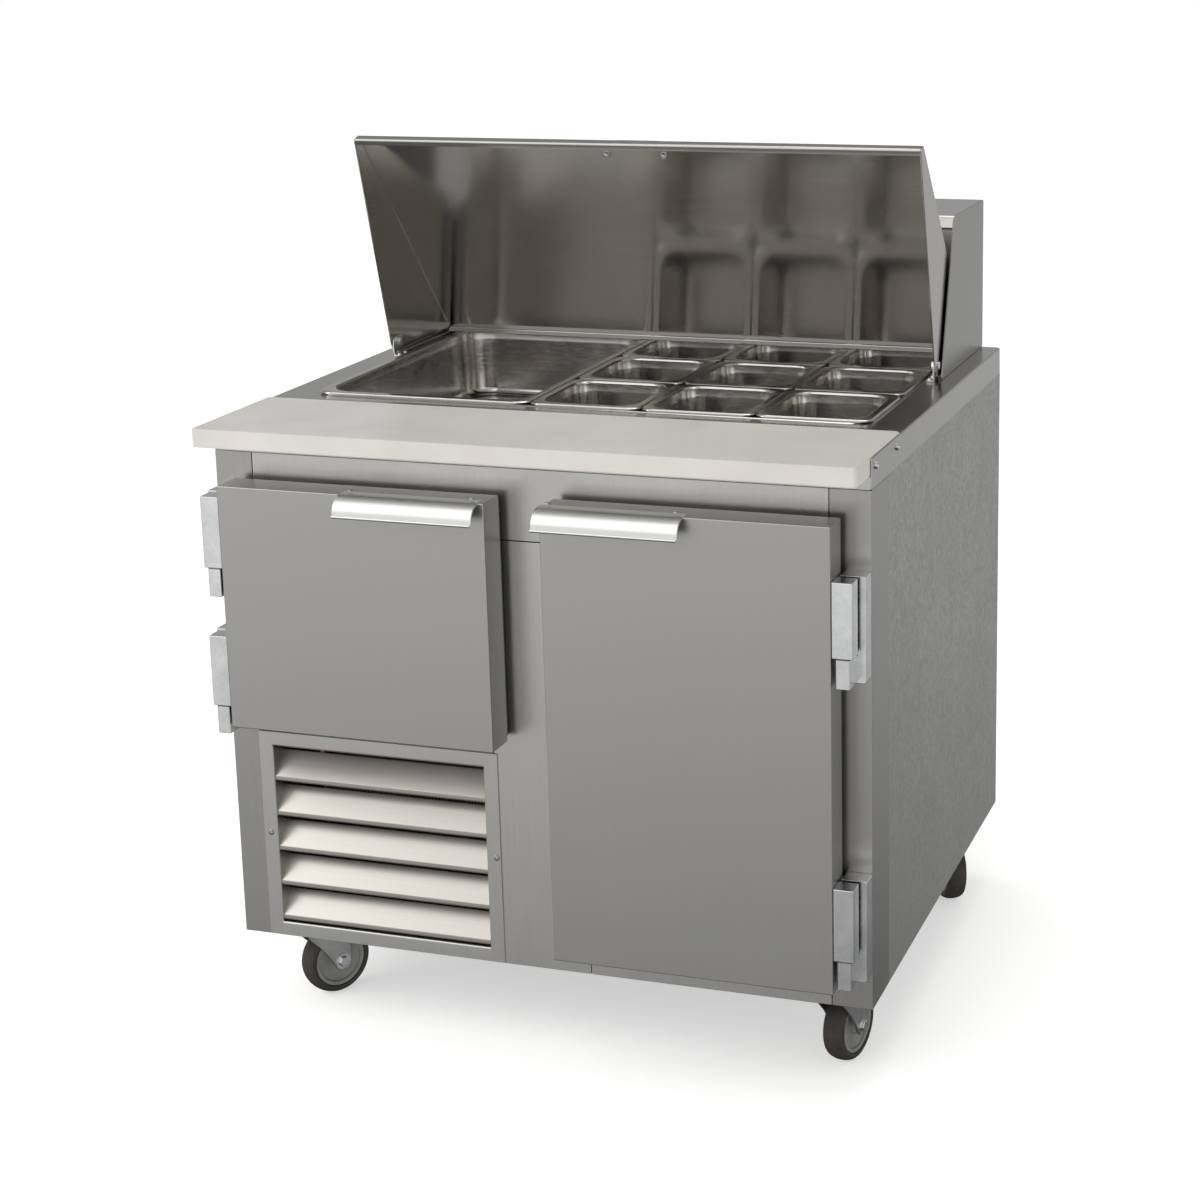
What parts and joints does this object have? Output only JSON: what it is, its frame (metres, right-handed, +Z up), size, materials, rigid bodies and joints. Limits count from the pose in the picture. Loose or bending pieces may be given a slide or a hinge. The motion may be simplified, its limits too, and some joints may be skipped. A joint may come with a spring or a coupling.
{
  "type": "sandwich prep table",
  "caption": "Refrigerated stainless prep table on swivel casters with a pan well, cutting board, tilting wedge lid, rear hood and hinged doors.",
  "frame": {"origin": "on the floor under the centre of the table's outer box", "axes": "+Z up, +X to the right of the person who works at the table, +Y to the rear"},
  "size_m": [0.914, 0.858, 1.2042],
  "materials": {
    "satin_steel": "satin brushed stainless sheet",
    "door_steel": "fine satin stainless sheet",
    "side_skin": "matt galvanised and rolled skin",
    "polished_steel": "polished drawn stainless",
    "bright_metal": "bright plated steel",
    "aluminium": "satin anodised aluminium",
    "board_plastic": "planed white polyethylene",
    "liner": "rolled aluminium liner",
    "gasket_rubber": "soft extruded vinyl",
    "zinc": "zinc plated pressed steel",
    "wheel_rubber": "moulded rubber tread on a grey hub",
    "black_steel": "black stoved enamel",
    "coil": "thin fins on copper tube",
    "dark_plastic": "moulded dark plastic"
  },
  "bodies": {
    "cabinet": {"front_frame": "satin_steel", "left_side_panel": "side_skin", "right_side_panel": "side_skin", "rear_panel": "side_skin", "power_inlet": "dark_plastic", "floor_panel": "liner", "machine_bay_liner": "liner", "worktop": "satin_steel", "pan_well": "liner", "pan_adapter_bars": "satin_steel", "full_pan": "polished_steel", "cutting_board": "board_plastic", "rear_hood": "satin_steel", "left_lid_bracket": "bright_metal", "right_lid_bracket": "bright_metal", "left_upper_hinge_foot": "bright_metal", "left_lower_hinge_foot": "bright_metal", "right_upper_hinge_foot": "bright_metal", "right_lower_hinge_foot": "bright_metal", "louver_panel": "aluminium", "condensing_unit_base": "satin_steel", "condenser_coil": "coil", "compressor": "black_steel", "evaporator_coil": "coil", "shelf": "zinc", "sixth_pan_3_1": "polished_steel", "sixth_pan_3_2": "polished_steel", "sixth_pan_3_3": "polished_steel", "front_left_caster_plate": "zinc", "front_right_caster_plate": "zinc", "rear_left_caster_plate": "zinc", "rear_right_caster_plate": "zinc"},
    "lid": {"lid": "polished_steel", "lid_handle": "bright_metal"},
    "left_door": {"left_door": "door_steel", "left_door_gasket": "gasket_rubber", "left_door_handle": "aluminium", "left_upper_hinge_door_block": "bright_metal", "left_lower_hinge_door_block": "bright_metal"},
    "right_door": {"right_door": "door_steel", "right_door_gasket": "gasket_rubber", "right_door_handle": "aluminium", "right_upper_hinge_door_block": "bright_metal", "right_lower_hinge_door_block": "bright_metal"},
    "sixth_pan_1_1": {"sixth_pan_1_1": "polished_steel"},
    "sixth_pan_1_2": {"sixth_pan_1_2": "polished_steel"},
    "sixth_pan_1_3": {"sixth_pan_1_3": "polished_steel"},
    "sixth_pan_2_1": {"sixth_pan_2_1": "polished_steel"},
    "sixth_pan_2_2": {"sixth_pan_2_2": "polished_steel"},
    "sixth_pan_2_3": {"sixth_pan_2_3": "polished_steel"},
    "front_left_swivel": {"front_left_caster_fork": "zinc"},
    "front_left_wheel": {"front_left_caster_wheel": "wheel_rubber"},
    "front_right_swivel": {"front_right_caster_fork": "zinc"},
    "front_right_wheel": {"front_right_caster_wheel": "wheel_rubber"},
    "rear_left_swivel": {"rear_left_caster_fork": "zinc"},
    "rear_left_wheel": {"rear_left_caster_wheel": "wheel_rubber"},
    "rear_right_swivel": {"rear_right_caster_fork": "zinc"},
    "rear_right_wheel": {"rear_right_caster_wheel": "wheel_rubber"},
    "condenser_fan": {"condenser_fan": "dark_plastic"},
    "evaporator_fan": {"evaporator_fan": "dark_plastic"}
  },
  "joints": [
    {"name": "lid_hinge", "type": "hinge", "parent": "cabinet", "child": "lid", "pos_m": [0, 0.156, 0.883], "axis": [-1, 0, 0], "range_deg": [-75, 0]},
    {"name": "left_door_hinge", "type": "hinge", "parent": "cabinet", "child": "left_door", "pos_m": [-0.43475, -0.389, 0.452], "axis": [0, 0, -1], "range_deg": [0, 110]},
    {"name": "right_door_hinge", "type": "hinge", "parent": "cabinet", "child": "right_door", "pos_m": [0.43475, -0.389, 0.17], "axis": [0, 0, 1], "range_deg": [0, 110]},
    {"name": "sixth_pan_1_1_lift", "type": "slide", "parent": "cabinet", "child": "sixth_pan_1_1", "axis": [0, 0, 1], "range_m": [0, 0.13]},
    {"name": "sixth_pan_1_2_lift", "type": "slide", "parent": "cabinet", "child": "sixth_pan_1_2", "axis": [0, 0, 1], "range_m": [0, 0.13]},
    {"name": "sixth_pan_1_3_lift", "type": "slide", "parent": "cabinet", "child": "sixth_pan_1_3", "axis": [0, 0, 1], "range_m": [0, 0.13]},
    {"name": "sixth_pan_2_1_lift", "type": "slide", "parent": "cabinet", "child": "sixth_pan_2_1", "axis": [0, 0, 1], "range_m": [0, 0.13]},
    {"name": "sixth_pan_2_2_lift", "type": "slide", "parent": "cabinet", "child": "sixth_pan_2_2", "axis": [0, 0, 1], "range_m": [0, 0.13]},
    {"name": "sixth_pan_2_3_lift", "type": "slide", "parent": "cabinet", "child": "sixth_pan_2_3", "axis": [0, 0, 1], "range_m": [0, 0.13]},
    {"name": "front_left_caster_swivel", "type": "hinge", "parent": "cabinet", "child": "front_left_swivel", "pos_m": [-0.389, -0.264, 0.1], "axis": [0, 0, 1], "continuous": true},
    {"name": "front_left_wheel_spin", "type": "hinge", "parent": "front_left_swivel", "child": "front_left_wheel", "pos_m": [-0.3731, -0.23856, 0.051], "axis": [0.848, -0.5299, 0], "continuous": true},
    {"name": "front_right_caster_swivel", "type": "hinge", "parent": "cabinet", "child": "front_right_swivel", "pos_m": [0.389, -0.264, 0.1], "axis": [0, 0, 1], "continuous": true},
    {"name": "front_right_wheel_spin", "type": "hinge", "parent": "front_right_swivel", "child": "front_right_wheel", "pos_m": [0.39524, -0.23466, 0.051], "axis": [0.9781, -0.2079, 0], "continuous": true},
    {"name": "rear_left_caster_swivel", "type": "hinge", "parent": "cabinet", "child": "rear_left_swivel", "pos_m": [-0.389, 0.354, 0.1], "axis": [0, 0, 1], "continuous": true},
    {"name": "rear_left_wheel_spin", "type": "hinge", "parent": "rear_left_swivel", "child": "rear_left_wheel", "pos_m": [-0.39926, 0.32581, 0.051], "axis": [-0.9397, 0.342, 0], "continuous": true},
    {"name": "rear_right_caster_swivel", "type": "hinge", "parent": "cabinet", "child": "rear_right_swivel", "pos_m": [0.389, 0.354, 0.1], "axis": [0, 0, 1], "continuous": true},
    {"name": "rear_right_wheel_spin", "type": "hinge", "parent": "rear_right_swivel", "child": "rear_right_wheel", "pos_m": [0.404, 0.32802, 0.051], "axis": [-0.866, -0.5, 0], "continuous": true},
    {"name": "condenser_fan_spin", "type": "hinge", "parent": "cabinet", "child": "condenser_fan", "pos_m": [-0.2355, -0.149, 0.28], "axis": [0, 1, 0], "continuous": true},
    {"name": "evaporator_fan_spin", "type": "hinge", "parent": "cabinet", "child": "evaporator_fan", "pos_m": [-0.22, 0.291, 0.61], "axis": [0, 1, 0], "continuous": true}
  ]
}
